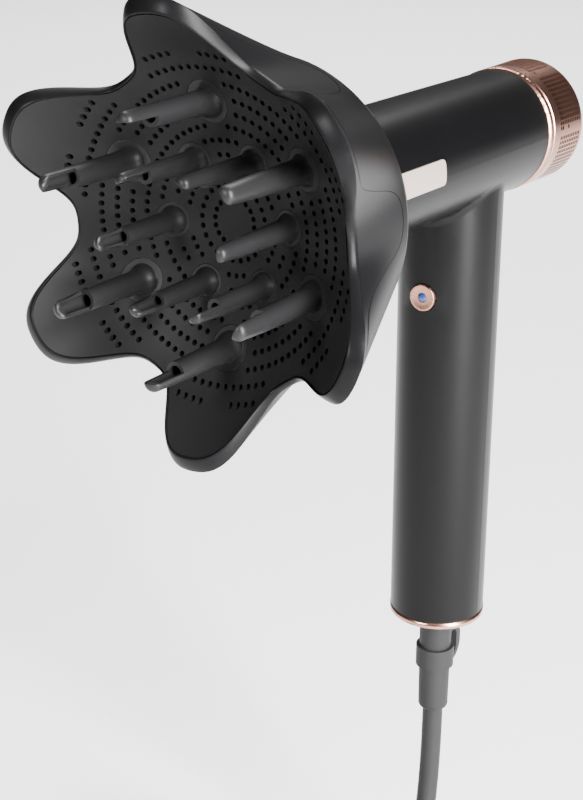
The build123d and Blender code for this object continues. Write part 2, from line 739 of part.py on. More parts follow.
def rear_rules():
    """Edges of the rear shell: out over the dome, up to the joint line and back inside."""
    turns = (0, 15, 30, 45, 60, 75)
    bore = coupler_radius() + CLEAR
    outside = [flat_ring(NECK_RADIUS, NECK_STATION)]
    outside += [flat_ring(*dome_point(turn, 0)) for turn in turns]
    outside += [skirt(share, 0) for share in (0.0, 0.35, 0.7, 1.0)]
    inside = [skirt(share, SHELL_WALL) for share in (1.0, 0.7, 0.35, 0.0)]
    inside += [flat_ring(*dome_point(turn, SHELL_WALL)) for turn in reversed(turns)]
    inside += [flat_ring(bore, dome_point(0, SHELL_WALL)[1]), flat_ring(bore, NECK_STATION)]
    return outside + inside


def bezel_rules():
    """Edges of the front bezel: from the joint line over the lip to the crest and back inside."""
    def between(share, inset):
        def rule(angle):
            start = seam_station(angle) + SEAM_GAP
            station = start + (lip(angle)[1] - start) * share
            return (skin(angle, station) - inset, station)
        return rule

    def lip_edge(angle):
        return lip(angle)

    def crown(angle):
        radius, station = crest(angle)
        return (radius + CREST_WIDTH, station)

    def inner_crown(angle):
        radius, station = crest(angle)
        return (radius, station - 0.3)

    def ledge(angle):
        radius, station = crest(angle)
        return (radius, station - LEDGE_DEPTH)

    return [between(0.0, 0), between(0.5, 0), lip_edge, crown, inner_crown, ledge,
            between(0.4, SHELL_WALL), between(0.0, SHELL_WALL)]


def bowl_curve(drop):
    """Section of the bowl's front face from its middle to past the rim, lowered by a drop."""
    points = [(0, BOWL_FLOOR_STATION), (20, BOWL_FLOOR_STATION + 2.5),
              (BOWL_KNEE_RADIUS, BOWL_KNEE_STATION), (RIM_VALLEY_RADIUS, RIM_VALLEY_STATION),
              (RIM_LOBE_RADIUS, RIM_LOBE_STATION), (RIM_LOBE_RADIUS + 16, RIM_LOBE_STATION + 23)]
    return Spline(*[(radius, station - drop) for radius, station in points], tangents=[(1, 0), (1, 1.6)])


def bowl_station(radius):
    """Station of the bowl's front face at a radius, found by halving along its section."""
    curve = bowl_curve(0)
    low, high = 0.0, 1.0
    for _ in range(40):
        middle = (low + high) / 2
        if (curve @ middle).X < radius:
            low = middle
        else:
            high = middle
    return (curve @ low).Y


def above_bowl(drop):
    """Everything in front of the bowl's face, lowered by a drop."""
    curve = bowl_curve(drop)
    near, far = curve @ 0, curve @ 1
    top = RIM_LOBE_STATION + 60
    edges = [curve, Line(far, (far.X, top)), Line((far.X, top), (0, top)), Line((0, top), near)]
    return revolve(Plane.XZ * make_face(edges), Axis.Z, 360)


def clocked(shape):
    """Turn a diffuser shape so that a lobe points straight up, plus its resting turn."""
    return lay_forward(Rot(0, 0, 90 + CLOCKING) * shape)


def bowl_blank():
    """The dished plate inside the rim, before its prong seats are cut."""
    plate = above_bowl(BOWL_THICKNESS) - above_bowl(0)
    def edge_rule(angle):
        return (crest(angle)[0] - SEAT, BOWL_FLOOR_STATION - 20)
    outline = Face(Wire([ring_edge(edge_rule)]))
    return plate & Solid.extrude(outline, Vector(0, 0, 80))


def prong_kinds():
    """Ring radius, first angle off a lobe, tip, open length, body radius and base radius of each ring."""
    return {"outer": (OUTER_RING, 0.0, OUTER_TIP, OUTER_OPEN, OUTER_BODY, OUTER_BASE),
            "inner": (INNER_RING, 180.0 / LOBES, INNER_TIP, INNER_OPEN, INNER_BODY, INNER_BASE)}


def prong(kind, blank):
    """One hollow prong on the local axis angle 0, open along its inward side near the tip."""
    ring, _, tip, opening, body, base = prong_kinds()[kind]
    foot = bowl_station(ring) - BOWL_THICKNESS
    start = foot - 3.0
    lip_radius = body - PRONG_TAPER * 0.6
    tip_radius = body - PRONG_TAPER
    shoulder = foot + BOWL_THICKNESS + PRONG_FLARE
    outline = [Line((0, start), (body + 1.4, start)), Line((body + 1.4, start), (body + 1.4, foot + 1)),
               Spline((body + 1.4, foot + 1), (body + 0.5, foot + 4), (body, shoulder), tangents=[(0, 1), (0, 1)]),
               Line((body, shoulder), (lip_radius, tip - opening)),
               Line((lip_radius, tip - opening), (tip_radius, tip - tip_radius * 0.8)),
               Spline((tip_radius, tip - tip_radius * 0.8), (0, tip), tangents=[(-0.07, 1), (-1, 0)]),
               Line((0, tip), (0, start))]
    rod = revolve(Plane.XZ * make_face(outline), Axis.Z, 360)
    bore = Pos(0, 0, start - 1) * Cone(body - PRONG_WALL, tip_radius - PRONG_WALL,
                                       tip - PRONG_WALL * 1.6 - start, align=UP)
    half = Pos(-10, 0, tip - opening) * Box(20, 20, opening + 2, align=UP)
    rod = rod - bore - half
    seat = blank & Pos(ring, 0, 0) * disc(base, foot - 20, foot + 20)
    seat = seat - Pos(ring, 0, 0) * disc(body, foot - 20, foot + 20)
    whole = Pos(ring, 0, 0) * rod + seat
    return whole


def prong_nodes(blank):
    """Every prong by node name."""
    nodes = {}
    for kind, (_, first, *_rest) in prong_kinds().items():
        model = prong(kind, Rot(0, 0, -first) * blank)
        for index in range(LOBES):
            nodes[f"prong_{kind}_{index + 1}"] = clocked(Rot(0, 0, first + 360.0 * index / LOBES) * model)
    return nodes


def diffuser_bowl(blank):
    bowl = blank
    for ring, first, _, _, _, base in prong_kinds().values():
        seat = Pos(ring, 0, 0) * disc(base + 0.1, 100, 200)
        for copy in around(seat, LOBES, first):
            bowl = bowl - copy
    return clocked(bowl)


def coupler_radius():
    return OUTLET_SPIGOT_RADIUS + CLEAR + COUPLER_WALL


def coupler_start():
    return BARREL_FRONT + OUTLET_FLANGE + CLEAR


def coupler_ring():
    bore = OUTLET_SPIGOT_RADIUS + CLEAR
    start = coupler_start()
    end = start + COUPLER_LENGTH
    ring = tube(coupler_radius(), bore, start, end)
    flange = tube(coupler_radius() + 2.2, bore, end, end + COUPLER_FLANGE)
    ring = ring + flange
    for place in around(Pos(coupler_radius() - 0.7, 0, 0) * disc(1.5, start - 1, start + 3), MAGNET_COUNT):
        ring = ring - place
    return lay_forward(ring)


def coupler_magnets():
    start = coupler_start()
    single = Pos(coupler_radius() - 0.7, 0, 0) * disc(1.45, start + 0.1, start + 2.95)
    single = single & disc(coupler_radius() - 0.05, start - 1, start + 5)
    return Compound(children=[lay_forward(piece).solids()[0] for piece in around(single, MAGNET_COUNT)])


def diffuser_baffle():
    disc_part = disc(BAFFLE_RADIUS, BAFFLE_STATION, BAFFLE_STATION + BAFFLE_THICKNESS)
    rear = dome_station(POST_RING_RADIUS) + 3.4
    front = bowl_station(POST_RING_RADIUS) - BOWL_THICKNESS - 2.4
    post = Pos(POST_RING_RADIUS, 0, 0) * disc(POST_RADIUS, rear, front)
    arm = Pos(POST_RING_RADIUS / 2, 0, BAFFLE_STATION) * Box(POST_RING_RADIUS, 2.0, BAFFLE_THICKNESS, align=UP)
    return clocked(joined([disc_part] + around(arm, POST_COUNT, 30) + around(post, POST_COUNT, 30)))


def dome_station(radius):
    """Station of the rear dome's skin at a radius, found by halving the turn from neck to waist."""
    low, high = 0.0, 90.0
    for _ in range(40):
        middle = (low + high) / 2
        if dome_point(middle, 0)[0] < radius:
            low = middle
        else:
            high = middle
    return dome_point(low, 0)[1]


def diffuser_screws():
    screws = []
    start = dome_station(POST_RING_RADIUS) - 1.5
    single = Pos(POST_RING_RADIUS, 0, 0) * (disc(2.4, start, start + 1.6) + disc(1.2, start + 1.6, start + 4.9))
    for copy in around(single, POST_COUNT, 30):
        screws.append(clocked(copy).solids()[0])
    return Compound(children=screws)


def diffuser_rear_shell():
    shell = ring_solid(rear_rules())
    start = dome_station(POST_RING_RADIUS) - 1.5
    hole = Pos(POST_RING_RADIUS, 0, 0) * (disc(2.5, start - 8, start + 1.6) + disc(1.25, start, start + 12))
    for copy in around(hole, POST_COUNT, 30):
        shell = shell - copy
    return clocked(shell)


def diffuser_bezel():
    return clocked(ring_solid(bezel_rules()))


def main():
    os.makedirs(PARTS, exist_ok=True)
    nodes = {"body_shell": body_shell(), "badge_plate": badge_plate(), "cap_seat_ring": cap_seat_ring(),
             "rear_filter_cap": rear_filter_cap(), "filter_mesh": filter_mesh(), "inlet_guard": inlet_guard(),
             "motor_housing": motor_housing(), "impeller": impeller(), "motor_shaft": motor_shaft(),
             "motor_mount_rear": motor_mount(MOTOR_REAR + 1),
             "motor_mount_front": motor_mount(MOTOR_REAR + MOTOR_LENGTH - MOUNT_RING_WIDTH - 1),
             "air_duct": air_duct(), "heater_frame": heater_frame(), "heater_coils": heater_coils(),
             "thermal_cutout": thermal_cutout(), "outlet_ring": outlet_ring(),
             "outlet_grille": outlet_grille(), "ion_emitter": ion_emitter(),
             "cool_shot_button": cool_shot_button(), "cool_shot_dot": cool_shot_dot(),
             "cool_shot_guide": cool_shot_guide(), "cool_shot_spring": cool_shot_spring(),
             "cool_shot_switch": cool_shot_switch(), "button_panel": button_panel(),
             "indicator_lights": indicator_lights(), "button_springs": button_springs(),
             "control_board": control_board(), "handle_end_ring": handle_end_ring(),
             "handle_end_cap": handle_end_cap(), "end_cap_screws": end_cap_screws(),
             "strain_relief": strain_relief(), "hang_loop": hang_loop(), "cord": cord(),
             "cord_coil": cord_coil(), "cord_tie": cord_tie(), "plug_body": plug_body(),
             "plug_pins": plug_pins(), "coupler_ring": coupler_ring(), "coupler_magnets": coupler_magnets(),
             "diffuser_baffle": diffuser_baffle(), "diffuser_screws": diffuser_screws()}
    for name, height in zip(("power_button", "airflow_button", "heat_button"), button_centres()):
        nodes[name] = rear_button(height)
    blank = bowl_blank()
    nodes["diffuser_rear_shell"] = diffuser_rear_shell()
    nodes["diffuser_bezel"] = diffuser_bezel()
    nodes["diffuser_bowl"] = diffuser_bowl(blank)
    nodes.update(prong_nodes(blank))
    for name, shape in nodes.items():
        export_step(shape, os.path.join(PARTS, name + ".step"))
    print("nodes", len(nodes), "floor", round(floor_z(), 1))


main()
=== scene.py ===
"""A salon hair dryer with its curl diffuser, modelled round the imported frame."""
import json
import logging
from dataclasses import dataclass
from enum import Enum
from math import atan2, cos, degrees, pi, radians, sin, tanh
from typing import Callable, Iterable

import bmesh
import bpy
from mathutils import Matrix, Vector


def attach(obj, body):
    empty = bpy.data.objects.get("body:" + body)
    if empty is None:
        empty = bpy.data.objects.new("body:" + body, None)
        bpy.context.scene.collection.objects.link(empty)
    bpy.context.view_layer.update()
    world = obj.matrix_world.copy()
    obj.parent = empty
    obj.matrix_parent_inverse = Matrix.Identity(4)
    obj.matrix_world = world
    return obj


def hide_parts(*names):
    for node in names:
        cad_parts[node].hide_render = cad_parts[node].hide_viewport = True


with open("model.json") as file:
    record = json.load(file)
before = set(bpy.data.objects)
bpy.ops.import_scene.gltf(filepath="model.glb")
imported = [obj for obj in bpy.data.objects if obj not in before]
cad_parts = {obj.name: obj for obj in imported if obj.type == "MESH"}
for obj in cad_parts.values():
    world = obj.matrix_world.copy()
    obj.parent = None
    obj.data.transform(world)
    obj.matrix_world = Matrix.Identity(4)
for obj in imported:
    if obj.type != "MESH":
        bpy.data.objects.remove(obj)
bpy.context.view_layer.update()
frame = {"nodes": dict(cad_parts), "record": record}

LOG = logging.getLogger("dryer")
MM = 0.001
# Height of the barrel's axis above the frame's origin, in metres.
BARREL_AXIS = 0.105
# Points of a mesh closer than this, in metres, are merged.
MERGE_DISTANCE = 0.000002

Rule = Callable[[float], tuple[float, float]]


# ======================= shader maths =======================
class Signal:
    """A shader value that can be used in plain arithmetic."""

    def __init__(self, graph: "Graph", socket: bpy.types.NodeSocket) -> None:
        """Wraps one output socket of a graph."""
        self.graph = graph
        self.socket = socket

    def _math(self, operation: str, first: object, second: object) -> "Signal":
        """Adds one Math node and returns its result."""
        return self.graph.add("ShaderNodeMath", {"operation": operation}, {0: first, 1: second})

    def __add__(self, other: object) -> "Signal":
        """Sum."""
        return self._math("ADD", self, other)

    __radd__ = __add__

    def __sub__(self, other: object) -> "Signal":
        """Difference."""
        return self._math("SUBTRACT", self, other)

    def __mul__(self, other: object) -> "Signal":
        """Product."""
        return self._math("MULTIPLY", self, other)


class Graph:
    """The node tree of one material."""

    def __init__(self, name: str) -> None:
        """Starts an empty material with a surface shader.

        Args:
            name: The material's name.
        """
        self.material = bpy.data.materials.new(name)
        self.material.use_nodes = True
        self.tree = self.material.node_tree
        self.shader = self.tree.nodes["Principled BSDF"]
        self.place = self.add("ShaderNodeTexCoord", {}, {}, "Object")

    def add(self, kind: str, settings: dict, inputs: dict, output: str | int = 0) -> Signal:
        """Adds any node.

        Args:
            kind: The node's type.
            settings: Its properties, set before its sockets.
            inputs: Values or signals by socket name or number.
            output: The socket to hand back.

        Returns:
            The chosen output as a signal.
        """
        node = self.tree.nodes.new(kind)
        for key, value in settings.items():
            setattr(node, key, value)
        for key, value in inputs.items():
            self.feed(node.inputs[key], value)
        return Signal(self, node.outputs[output])

    def feed(self, socket: bpy.types.NodeSocket, value: object) -> None:
        """Sets a socket to a number or links a signal to it."""
        if isinstance(value, Signal):
            self.tree.links.new(value.socket, socket)
        else:
            socket.default_value = value

    def set(self, **inputs: object) -> None:
        """Feeds the surface shader's sockets; an underscore stands for a blank."""
        for key, value in inputs.items():
            self.feed(self.shader.inputs[key.replace("_", " ")], value)

    def noise(self, scale: float, detail: float) -> Signal:
        """A noise pattern fixed to the piece."""
        return self.add("ShaderNodeTexNoise", {}, {"Vector": self.place, "Scale": scale, "Detail": detail})

    def blend(self, factor: Signal, low: tuple, high: tuple) -> Signal:
        """A colour between two, by a signal."""
        return self.add("ShaderNodeMix", {"data_type": "RGBA"}, {0: factor, 6: (*low, 1), 7: (*high, 1)}, 2)

    def bump(self, height: Signal, depth: float) -> None:
        """Raises the surface by a height signal, in metres."""
        relief = {"Height": height, "Distance": depth, "Strength": 1.0}
        self.set(Normal=self.add("ShaderNodeBump", {}, relief))


class Grain(Enum):
    """How coarse a surface's moulded or sprayed texture is, as noise scale and depth in metres."""
    NONE = (0.0, 0.0)
    SPRAYED = (2600.0, 0.000006)
    MOULDED = (1700.0, 0.000014)
    RUBBERY = (1200.0, 0.00002)


@dataclass(frozen=True)
class Finish:
    """A plain moulded, sprayed or metal finish."""
    name: str
    colour: tuple[float, float, float]
    roughness: float
    metallic: float = 0.0
    coat: float = 0.0
    grain: Grain = Grain.NONE
    mottle: float = 0.12
    shine: float = 0.5

    def material(self) -> bpy.types.Material:
        """Builds the finish once and returns it."""
        title = f"{self.name}_finish"
        made = bpy.data.materials.get(title)
        if made:
            return made
        graph = Graph(title)
        cloud = graph.noise(35.0, 3.0)
        low = tuple(channel * (1 - self.mottle) for channel in self.colour)
        high = tuple(min(channel * (1 + self.mottle), 1.0) for channel in self.colour)
        graph.set(Base_Color=graph.blend(cloud, low, high), Roughness=self.roughness + (cloud - 0.5) * 0.06,
                  Metallic=self.metallic, Coat_Weight=self.coat, Coat_Roughness=0.25,
                  Specular_IOR_Level=self.shine)
        scale, depth = self.grain.value
        if depth:
            graph.bump(graph.noise(scale, 1.0), depth)
        self.dress(graph)
        return graph.material

    def dress(self, graph: Graph) -> None:
        """Adds what is special to a finish; a plain one has nothing more."""


@dataclass(frozen=True)
class SpunMetal(Finish):
    """Turned metal, whose sheen changes round an axis along Y; the centre is its height in metres."""
    centre: float = 0.0

    def dress(self, graph: Graph) -> None:
        """Varies the roughness by the angle round the axis."""
        across = graph.add("ShaderNodeSeparateXYZ", {}, {0: graph.place}, "X")
        height = graph.add("ShaderNodeSeparateXYZ", {}, {0: graph.place}, "Z") - self.centre
        sweep = graph.add("ShaderNodeMath", {"operation": "ARCTAN2"}, {0: height, 1: across})
        streak = graph.add("ShaderNodeTexNoise", {"noise_dimensions": "1D"},
                           {"W": sweep, "Scale": 5.0, "Detail": 1.0})
        graph.set(Roughness=self.roughness + (streak - 0.5) * 0.35)


BLACK_SATIN = Finish("black_satin", (0.002, 0.002, 0.0022), 0.3, grain=Grain.SPRAYED, shine=0.12)
ROSE_GOLD = Finish("rose_gold", (0.46, 0.25, 0.19), 0.24, metallic=1.0, mottle=0.05)
SPUN_ROSE = SpunMetal("spun_rose_gold", (0.42, 0.22, 0.16), 0.30, metallic=1.0, mottle=0.03, centre=0.0494)
CREAM = Finish("badge_cream", (0.27, 0.22, 0.19), 0.32, mottle=0.03)
BLUE = Finish("blue_dot", (0.004, 0.028, 0.13), 0.30, coat=0.4)
CHARCOAL_SHELL = Finish("charcoal_shell", (0.0035, 0.0035, 0.0038), 0.36, grain=Grain.MOULDED, shine=0.08)
CHARCOAL_MATT = Finish("charcoal_matt", (0.0065, 0.0063, 0.0066), 0.5, grain=Grain.MOULDED, shine=0.12)
CHARCOAL_PRONG = Finish("charcoal_prong", (0.008, 0.0078, 0.0082), 0.42, grain=Grain.MOULDED, shine=0.2)
RUBBER = Finish("cord_rubber", (0.013, 0.0127, 0.0132), 0.60, grain=Grain.RUBBERY, shine=0.2)
STRAP = Finish("tie_fabric", (0.015, 0.015, 0.016), 0.85, grain=Grain.RUBBERY)
PIN = Finish("pin_metal", (0.72, 0.72, 0.73), 0.22, metallic=1.0, mottle=0.03)
BLACK_PLASTIC = Finish("dark_plastic", (0.012, 0.012, 0.013), 0.5, grain=Grain.MOULDED)
KEY_GREY = Finish("button_grey", (0.05, 0.05, 0.055), 0.35)


# ======================= modelling helpers =======================
def deselect() -> None:
    """Leaves edit mode and drops every selection."""
    if bpy.context.object and bpy.context.object.mode != "OBJECT":
        bpy.ops.object.mode_set(mode="OBJECT")
    bpy.ops.object.select_all(action="DESELECT")


def pick(piece: bpy.types.Object) -> None:
    """Makes one object the only selected and active one."""
    deselect()
    piece.select_set(True)
    bpy.context.view_layer.objects.active = piece


def carve(piece: bpy.types.Object, kind: str, **settings: object) -> None:
    """Adds a modifier with its settings and applies it."""
    pick(piece)
    modifier = piece.modifiers.new(kind.lower(), kind)
    for key, value in settings.items():
        setattr(modifier, key, value)
    bpy.ops.object.modifier_apply(modifier=modifier.name)


def soften(piece: bpy.types.Object, angle: float = 32.0) -> None:
    """Shades the piece smooth except across sharp edges."""
    pick(piece)
    bpy.ops.object.shade_smooth_by_angle(angle=radians(angle))


def place_ring(piece: bpy.types.Object, rule: Rule) -> None:
    """Moves the selected ring to the radius and station that the rule gives at each angle, in mm."""
    form = bmesh.from_edit_mesh(piece.data)
    for vertex in form.verts:
        if vertex.select:
            turn = atan2(vertex.co.y, vertex.co.x)
            radius, station = rule(degrees(turn))
            vertex.co = Vector((radius * cos(turn), radius * sin(turn), station)) * MM
    bmesh.update_edit_mesh(piece.data)


def lofted(name: str, rules: list[Rule], segments: int, closed: bool = True) -> bpy.types.Object:
    """A skin extruded from ring to ring round the local Z axis.

    Args:
        name: The piece's name.
        rules: Radius and station of each ring, by angle.
        segments: Points round each ring.
        closed: Whether the last ring joins the first.

    Returns:
        The piece, facing outwards.
    """
    deselect()
    bpy.ops.mesh.primitive_circle_add(vertices=segments, radius=1.0)
    piece = bpy.context.object
    piece.name = piece.data.name = name
    bpy.ops.object.mode_set(mode="EDIT")
    bpy.ops.mesh.select_mode(type="VERT")
    bpy.ops.mesh.select_all(action="SELECT")
    place_ring(piece, rules[0])
    for rule in rules[1:] + (rules[:1] if closed else []):
        bpy.ops.mesh.extrude_region_move()
        place_ring(piece, rule)
    bpy.ops.mesh.select_all(action="SELECT")
    bpy.ops.mesh.remove_doubles(threshold=MERGE_DISTANCE)
    bpy.ops.mesh.normals_make_consistent(inside=False)
    bpy.ops.object.mode_set(mode="OBJECT")
    return piece


def plain(radius: float, station: float) -> Rule:
    """A round ring of one radius at one station."""
    return lambda angle: (radius, station)


def turned(name: str, profile: Iterable[tuple[float, float]], segments: int = 96) -> bpy.types.Object:
    """A piece of revolution from a closed profile of radius and station, in mm."""
    return lofted(name, [plain(max(radius, 0.004), station) for radius, station in profile], segments)


def rounded(corner: tuple[float, float], size: float, chords: int = 5) -> list[tuple[float, float]]:
    """Profile points round a convex corner, a quarter turn from the radius to the axis direction.

    Args:
        corner: Centre of the corner's arc.
        size: The arc's radius.
        chords: Number of chords.

    Returns:
        The points of the arc.
    """
    turns = [radians(90.0 * step / chords) for step in range(chords + 1)]
    return [(corner[0] + size * cos(turn), corner[1] + size * sin(turn)) for turn in turns]


def moved(piece: bpy.types.Object, matrix: Matrix) -> bpy.types.Object:
    """Puts the piece's mesh in its place in the frame, with the object at the origin."""
    piece.data.transform(matrix @ piece.matrix_world)
    piece.matrix_world = Matrix.Identity(4)
    return piece


def stamp(source: bpy.types.Object, matrix: Matrix) -> bpy.types.Object:
    """A copy of a piece with its own mesh, put in place."""
    copy = bpy.data.objects.new(source.name, source.data.copy())
    bpy.context.scene.collection.objects.link(copy)
    copy.data.transform(matrix)
    return copy


def forward(turn: float = 0.0) -> Matrix:
    """Takes the local Z axis to the way the air leaves, after a turn in degrees round it."""
    return (Matrix.Translation((0, 0, BARREL_AXIS)) @ Matrix.Rotation(pi / 2, 4, "X")
            @ Matrix.Rotation(radians(turn), 4, "Z"))


def paint(node: str, finish: Finish) -> None:
    """Gives a node that stays in view its finish."""
    materials = frame["nodes"][node].data.materials
    materials.clear()
    materials.append(finish.material())


def keep(piece: bpy.types.Object, finish: Finish, body: str, slot: str, *nodes: str) -> bpy.types.Object:
    """Paints a finished piece, ties it to its body and hides the nodes it replaces.

    Args:
        piece: The finished piece.
        finish: Its finish.
        body: The body it rides on.
        slot: The record's material slot; not used.
        nodes: The nodes it replaces.

    Returns:
        The piece.
    """
    piece.data.materials.clear()
    piece.data.materials.append(finish.material())
    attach(piece, body)
    if nodes:
        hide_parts(*nodes)
    LOG.info("%s: %d faces", piece.name, len(piece.data.polygons) if piece.type == "MESH" else 0)
    return piece


def smoothed(node: str, name: str, angle: float = 32.0) -> bpy.types.Object:
    """A merged and smoothly shaded piece with a node's own shape."""
    source = frame["nodes"][node]
    piece = bpy.data.objects.new(name, source.data.copy())
    bpy.context.scene.collection.objects.link(piece)
    pick(piece)
    bpy.ops.object.mode_set(mode="EDIT")
    bpy.ops.mesh.select_all(action="SELECT")
    bpy.ops.mesh.remove_doubles(threshold=MERGE_DISTANCE)
    bpy.ops.object.mode_set(mode="OBJECT")
    soften(piece, angle)
    return piece


# ======================= sub-assemblies =======================
@dataclass
class Diffuser:
    """The six-lobed bowl with its prongs, front bezel and rear shell; sizes in mm."""
    lobes: int = 6
    clocking: float = 95.0
    rim_lobe: tuple[float, float] = (67.2, 173.1)
    rim_valley: tuple[float, float] = (51.6, 154.8)
    squareness: float = 0.08
    waist: tuple[float, float] = (49.4, 117.0)
    neck: tuple[float, float] = (29.4, 89.9)
    neck_length: float = 9.0
    neck_edges: tuple[tuple[float, float], ...] = ((0.6, 0.0), (0.15, 0.2), (0.0, 0.7))
    seam_edges: tuple[tuple[float, float], ...] = ((0.0, 0.9), (0.12, 0.4), (0.45, 0.1), (0.9, 0.0))
    bore: float = 26.3
    wall: float = 2.2
    gap: float = 0.25
    seam_lobe: float = 3.0
    seam_valley: float = 33.0
    petal_half: float = 16.6
    petal_steep: float = 4.2
    lip_width: tuple[float, float] = (5.2, 2.1)
    lip_depth: float = 1.8
    ledge: float = 4.4
    dome_fullness: float = 0.5
    bowl_thickness: float = 2.0
    hole_radius: float = 0.92
    outer_ring: tuple[float, float] = (38.8, 6.9)
    inner_ring: tuple[float, float] = (22.6, 5.7)
    segments: int = 360
    crest_width: float = 0.6
    lip_roundness: float = 0.35
    section: tuple[tuple[float, float, float], ...] = (
        (0, 139.2, 0.0), (20, 141.7, 0.22), (38, 147.4, 0.42), (51.6, 154.8, 0.78), (67.2, 173.1, 1.42))
    bowl_rings: int = 28
    bowl_segments: int = 240
    rim_gap: float = 0.2
    hole_rows: int = 11
    first_row: float = 7.6
    row_pitch: float = 4.7
    hole_pitch: float = 3.05
    prong_clearance: float = 1.7
    rim_clearance: float = 3.2
    plain_disc: tuple[float, float] = (56.0, 4.6)
    seat_clearance: float = 0.12

    def prong_seats(self) -> list[tuple[float, float, int]]:
        """Ring radius, base radius and angle of each prong."""
        return [(ring, base, at) for (ring, base), first in ((self.outer_ring, 0), (self.inner_ring, 30))
                for at in range(first, 360, 60)]

    def wave(self, lobe: float, valley: float, angle: float) -> float:
        """A size that runs from its value in a lobe to its value in a valley."""
        phase = radians(angle * self.lobes)
        share = (cos(phase) - self.squareness * cos(3 * phase)) / (1 - self.squareness)
        return (lobe + valley) / 2 + (lobe - valley) / 2 * share

    def crest(self, angle: float) -> tuple[float, float]:
        """Radius and station of the rim's inner edge."""
        return (self.wave(self.rim_lobe[0], self.rim_valley[0], angle),
                self.wave(self.rim_lobe[1], self.rim_valley[1], angle))

    def lip(self, angle: float) -> tuple[float, float]:
        """Radius and station of the rim's outer edge."""
        radius, station = self.crest(angle)
        return radius + self.wave(*self.lip_width, angle), station - self.lip_depth

    def skin(self, angle: float, station: float) -> float:
        """Radius of the flared outer skin at a station."""
        lip_radius, lip_station = self.lip(angle)
        share = (station - self.waist[1]) / (lip_station - self.waist[1])
        return self.waist[0] + (lip_radius - self.waist[0]) * share

    def seam(self, angle: float) -> float:
        """Station of the joint line between the bezel and the rear shell."""
        middle = cos(radians(self.petal_half * self.lobes))
        petal = (1 + tanh(self.petal_steep * (cos(radians(angle * self.lobes)) - middle))) / 2
        return self.lip(angle)[1] - self.seam_lobe - (self.seam_valley - self.seam_lobe) * (1 - petal)

    def skirt(self, share: float, inset: float, back: float = 0.0) -> Rule:
        """An edge part of the way from the waist to the joint line, moved in and back."""
        def rule(angle: float) -> tuple[float, float]:
            station = self.waist[1] + (self.seam(angle) - self.waist[1]) * share - back
            return self.skin(angle, station) - inset, station
        return rule

    def dome(self, turn: float, inset: float) -> Rule:
        """A ring on the rounded dome behind the waist."""
        reach = self.waist[0] - self.neck[0] - inset
        depth = self.waist[1] - self.neck[1] - self.neck_length - inset
        full, flat = self.dome_fullness, 1 - self.dome_fullness
        outward = full * sin(radians(turn)) + flat * turn / 90
        backward = full * cos(radians(turn)) + flat * (1 - turn / 90)
        return plain(self.neck[0] + reach * outward, self.waist[1] - depth * backward)

    def rear_shell(self) -> None:
        """The dome and petals behind the bowl."""
        turns = [step * 7.5 for step in range(12)]
        shares = [step / 24 for step in range(24)]
        rules = [plain(self.neck[0] - inset, self.neck[1] + back) for inset, back in self.neck_edges]
        rules += [self.dome(turn, 0) for turn in turns]
        rules += [self.skirt(share, 0) for share in shares]
        rules += [self.skirt(1, inset, back) for inset, back in self.seam_edges]
        rules += [self.skirt(share, self.wall) for share in [1.0, *reversed(shares)]]
        rules += [self.dome(turn, self.wall) for turn in reversed(turns)]
        rules += [plain(self.bore, self.neck[1] + reach) for reach in (self.neck_length + self.wall, 0)]
        piece = moved(lofted("diffuser_rear_shell_skin", rules, self.segments), forward(self.clocking))
        soften(piece, 40)
        keep(piece, CHARCOAL_SHELL, "diffuser", "diffuser_shell", "diffuser_rear_shell")

    def bezel(self) -> None:
        """The front frame round the bowl, from its rounded lip back to the joint line."""
        def flank(share: float, inset: float) -> Rule:
            """An edge part of the way from the joint line to the lip."""
            def rule(angle: float) -> tuple[float, float]:
                start = self.seam(angle) + self.gap
                station = start + (self.lip(angle)[1] - start) * share
                return self.skin(angle, station) - inset, station
            return rule

        def brow(turn: float) -> Rule:
            """A ring on the lip, between a round and a flat slope."""
            def rule(angle: float) -> tuple[float, float]:
                radius, station = self.crest(angle)
                lip_radius, lip_station = self.lip(angle)
                start = radius + self.crest_width
                share = turn / (pi / 2)
                outward = self.lip_roundness * sin(turn) + (1 - self.lip_roundness) * share
                back = self.lip_roundness * (1 - cos(turn)) + (1 - self.lip_roundness) * share
                return start + (lip_radius - start) * outward, station - (station - lip_station) * back
            return rule

        def inner(out: float, drop: float) -> Rule:
            """The edge round the bowl, moved out and down."""
            return lambda angle: (self.crest(angle)[0] + out, self.crest(angle)[1] - drop)

        rules = [flank(share, 0.0) for share in (0.0, 0.04, 0.2, 0.4, 0.6, 0.8, 0.95)]
        rules += [brow(pi / 2 * (1 - step / 8)) for step in range(9)]
        rules += [inner(0.25, 0.08), inner(0.0, 0.4), inner(0.0, self.ledge)]
        rules += [flank(share, self.wall) for share in (0.4, 0.2, 0.0)]
        piece = moved(lofted("diffuser_bezel_frame", rules, self.segments), forward(self.clocking))
        soften(piece, 40)
        keep(piece, CHARCOAL_SHELL, "diffuser", "diffuser_shell", "diffuser_bezel")

    def floor(self, radius: float) -> float:
        """Station of the bowl's front face at a radius, through its section's radii, stations and slopes."""
        for (left, low, slope), (right, high, next_slope) in zip(self.section, self.section[1:]):
            if radius <= right:
                break
        span = right - left
        share = (radius - left) / span
        square, cube = share ** 2, share ** 3
        return ((2 * cube - 3 * square + 1) * low + (cube - 2 * square + share) * span * slope
                + (3 * square - 2 * cube) * high + (cube - square) * span * next_slope)

    def hole_places(self) -> list[tuple[float, float]]:
        """Where the air holes are, as radius and angle, clear of the prongs and the rim."""
        def spot(radius: float, angle: float) -> Vector:
            """A point of the bowl as seen from the front."""
            return Vector((radius * cos(radians(angle)), radius * sin(radians(angle))))

